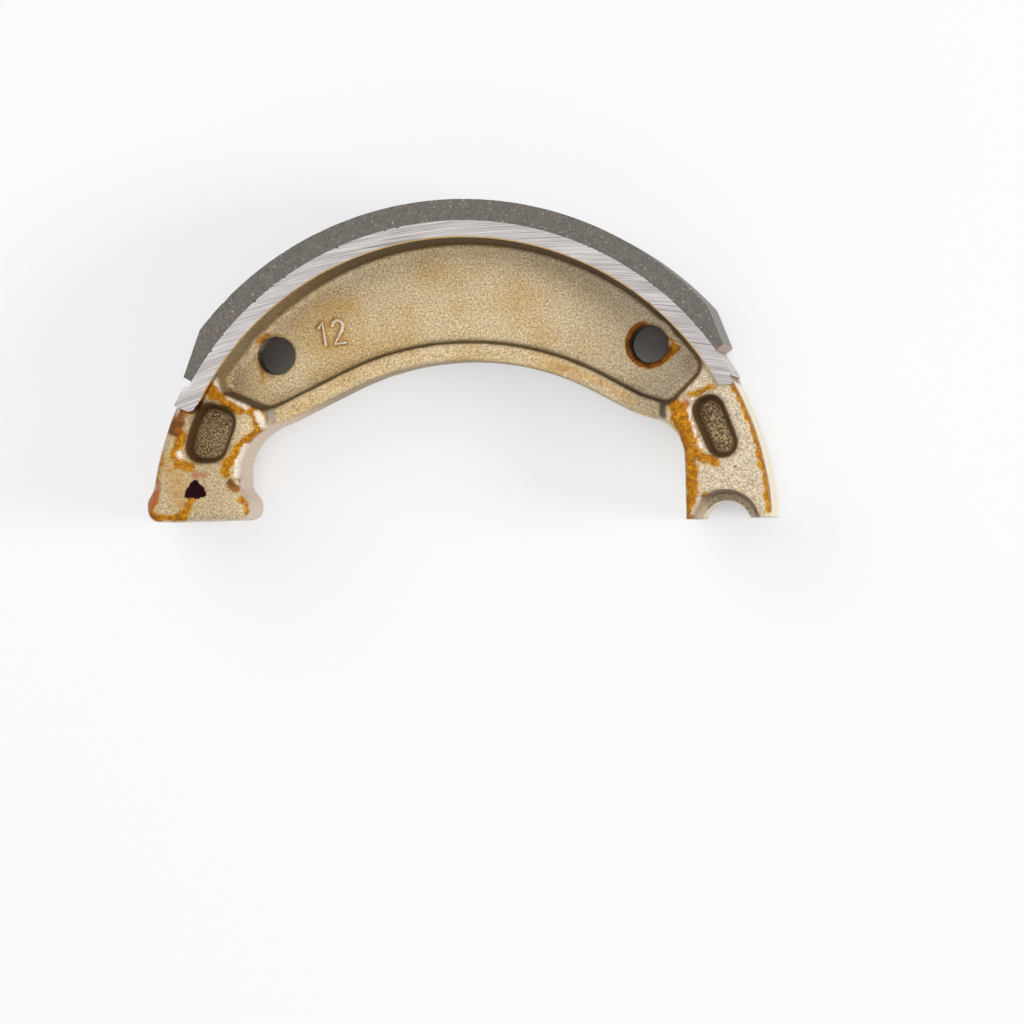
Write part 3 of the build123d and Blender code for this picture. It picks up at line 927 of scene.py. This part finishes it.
def ink_mark(nodes):
    """A dab of ink with three rounded corners on the cam end's side face."""
    outside = None
    for (ax, ay), (bx, by) in zip(INK_CORNERS, INK_CORNERS[1:] + INK_CORNERS[:1]):
        length = math.hypot(bx - ax, by - ay)
        nx = (by - ay) / length
        ny = (ax - bx) / length
        along_y = nodes.math("MULTIPLY_ADD", nodes.y, ny, -(nx * ax + ny * ay))
        gap = nodes.math("MULTIPLY_ADD", nodes.x, nx, along_y)
        outside = gap if outside is None else nodes.math("SMOOTH_MAX", outside, gap, INK_ROUNDING)
    uneven = nodes.math("MULTIPLY_ADD", nodes.noise(1.1), 0.5, -0.25)
    edge = nodes.math("ADD", outside, uneven)
    return nodes.times(nodes.ramp(edge, 0.1, -0.1), nodes.ramp(nodes.z, 9.0, 9.3))


def bare_tone(nodes, radius, blotches, on_side):
    """Milled metal with fine arcs from a large cutter, and varnish along the rim's inner edge."""
    reach, turn = nodes.radius_about(*SCRATCH_CENTRE)
    along = nodes.vector(nodes.times(reach, 5.0), nodes.times(turn, 14.0), 0.0)
    scratches = nodes.noise(1.0, 3.0, along, 0.6)
    wide = nodes.vector(nodes.times(reach, 2.2), nodes.times(turn, 8.0), 3.0)
    deep = nodes.noise(1.0, 1.0, wide)
    bare = nodes.mix(nodes.ramp(scratches, 0.3, 0.7), BARE_DARK, BARE_PALE)
    bare = nodes.mix(nodes.ramp(deep, 0.36, 0.30, 0.0, 0.55), bare, BARE_SCORE)
    rim_edge = nodes.ramp(nodes.math("ADD", radius, nodes.times(blotches, 0.3)), 48.95, 48.75)
    bare = nodes.mix(nodes.times(nodes.times(rim_edge, on_side), 0.8), bare, RIM_EDGE_TONE)
    return bare, scratches


def machined_faces(nodes, radius):
    """How far each place is milled: on the side faces alone, and on them, the table and the split."""
    height = nodes.math("ABSOLUTE", nodes.z)
    split = nodes.ramp(nodes.y, SPLIT_FACE + 0.06, SPLIT_FACE + 0.02)
    on_side = nodes.ramp(height, HALF_WIDTH - 0.05, HALF_WIDTH - 0.02)
    above_ends = nodes.ramp(nodes.y, 20.0, 22.0)
    on_table = nodes.times(nodes.ramp(radius, TABLE_RADIUS - 0.1, TABLE_RADIUS - 0.05), above_ends)
    return on_side, nodes.larger(nodes.larger(on_side, on_table), split)


def casting_material():
    nodes = SurfaceNodes("cast_skin")
    grain = nodes.noise(GRAIN_SCALE, 4.0, roughness=0.75)
    fine = nodes.noise(FINE_SCALE, 2.0, roughness=0.7)
    blotches = nodes.noise(BLOTCH_SCALE, 3.0)

    tone = skin_tone(nodes, grain, fine)
    tone = with_painted_light_on_outer_walls(nodes, tone, grain)
    tone, varnished = with_stains(nodes, tone, fine, blotches)
    tone = with_painted_shade(nodes, tone)
    ink = ink_mark(nodes)
    tone = nodes.mix(ink, tone, INK)
    radius, _ = nodes.radius_about(-DRUM_OFFSET, 0.0)
    on_side, machined = machined_faces(nodes, radius)
    bare, scratches = bare_tone(nodes, radius, blotches, on_side)
    nodes.put(nodes.surface.inputs["Base Color"], nodes.mix(machined, tone, bare))

    cast = nodes.math("SUBTRACT", 1.0, machined)
    stained = nodes.times(varnished, cast)
    metallic = nodes.larger(nodes.ramp(machined, 0.0, 1.0, 0.5, 0.85), nodes.times(stained, 0.95))
    nodes.put(nodes.surface.inputs["Metallic"], nodes.larger(metallic, ink))
    rough = nodes.ramp(grain, 0.3, 0.7, 0.62, 0.46)
    rough = nodes.math("SUBTRACT", rough, nodes.times(stained, 0.14))
    nodes.put(nodes.surface.inputs["Roughness"], nodes.math("MULTIPLY_ADD", machined, -0.12, rough))
    skin_height = nodes.math("MULTIPLY_ADD", fine, 0.6, grain)
    cut_height = nodes.times(machined, nodes.times(scratches, 0.25))
    relief = nodes.math("MULTIPLY_ADD", cast, skin_height, cut_height)
    nodes.put(nodes.surface.inputs["Normal"], nodes.bump(relief, SKIN_RELIEF))
    return nodes.material


# The lining's material

LINING_DARK = (0.115, 0.098, 0.085)
LINING_PALE = (0.20, 0.175, 0.155)
LINING_PATCH = (0.16, 0.145, 0.13)
LINING_SPECK = (0.60, 0.54, 0.45)
LINING_PIT = (0.03, 0.025, 0.02)
LINING_END = (0.42, 0.28, 0.22)
LINING_END_TURN = 34
LINING_RELIEF = 0.12


def lining_material():
    nodes = SurfaceNodes("friction_block")
    grain = nodes.noise(2.2, 4.0, roughness=0.6)
    fine = nodes.noise(6.0, 1.0)
    patches = nodes.noise(0.25, 2.0)
    tone = nodes.mix(nodes.ramp(grain, 0.3, 0.7), LINING_DARK, LINING_PALE)
    tone = nodes.mix(nodes.ramp(patches, 0.3, 0.7, 0.0, 0.35), tone, LINING_PATCH)
    specks = nodes.noise(2.9, 0.0)
    tone = nodes.mix(nodes.ramp(specks, 0.76, 0.80, 0.0, 0.8), tone, LINING_SPECK)
    pits = nodes.noise(2.4, 0.0, place=nodes.vector(nodes.y, nodes.z, nodes.x))
    tone = nodes.mix(nodes.ramp(pits, 0.24, 0.20, 0.0, 0.8), tone, LINING_PIT)
    _, turn = nodes.radius_about(-DRUM_OFFSET, 0.0)
    before = math.radians(LINING_END_TURN + 0.05)
    after = math.radians(LINING_END_TURN - 0.05)
    tone = nodes.mix(nodes.times(nodes.ramp(turn, before, after), 0.8), tone, LINING_END)
    nodes.put(nodes.surface.inputs["Base Color"], tone)

    ground = nodes.ramp(nodes.math("ABSOLUTE", nodes.z), HALF_WIDTH - 0.05, HALF_WIDTH - 0.15)
    rough = nodes.ramp(fine, 0.3, 0.7, 0.72, 0.86)
    nodes.put(nodes.surface.inputs["Roughness"], nodes.math("MULTIPLY_ADD", ground, -0.30, rough))
    relief = nodes.math("MULTIPLY_ADD", fine, 0.4, grain)
    nodes.put(nodes.surface.inputs["Normal"], nodes.bump(relief, LINING_RELIEF))
    return nodes.material


add_camera()
add_floor()
add_world()
add_lamps()
add_casting()
add_lining()
add_digits()

bpy.context.scene.view_settings.view_transform = "Standard"
